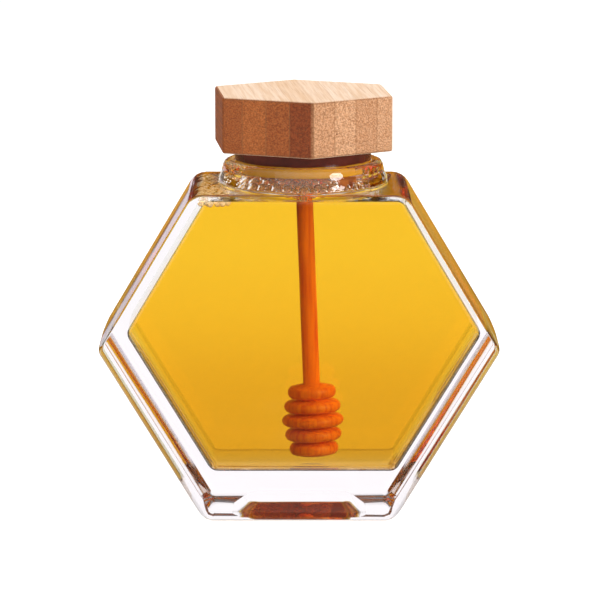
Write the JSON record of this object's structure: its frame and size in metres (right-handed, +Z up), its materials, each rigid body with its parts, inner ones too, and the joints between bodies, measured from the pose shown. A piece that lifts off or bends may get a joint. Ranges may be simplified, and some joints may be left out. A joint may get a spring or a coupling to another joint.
{
  "type": "hexagonal honey jar",
  "caption": "Thick glass hexagonal jar full of honey, with a round neck, a hexagonal bamboo lid on a sealed plug, and a wooden honey dipper fixed under the lid.",
  "frame": {"origin": "centre of the foot's underside, midway between the flat front and back faces", "axes": "+Z up through the neck, -Y out of the flat front face, +X to the right as seen from the front"},
  "size_m": [0.1154, 0.0556, 0.1213],
  "materials": {
    "glass": "clear, polished",
    "honey": "clear amber liquid",
    "bamboo": "sanded, laminated strips",
    "plug_wood": "sanded",
    "seal": "smooth, slightly glossy",
    "dipper_wood": "turned, sanded"
  },
  "bodies": {
    "root": {"jar": "glass", "honey": "honey", "lid": "bamboo", "plug": "plug_wood", "seal": "seal", "dipper": "dipper_wood"}
  },
  "joints": []
}
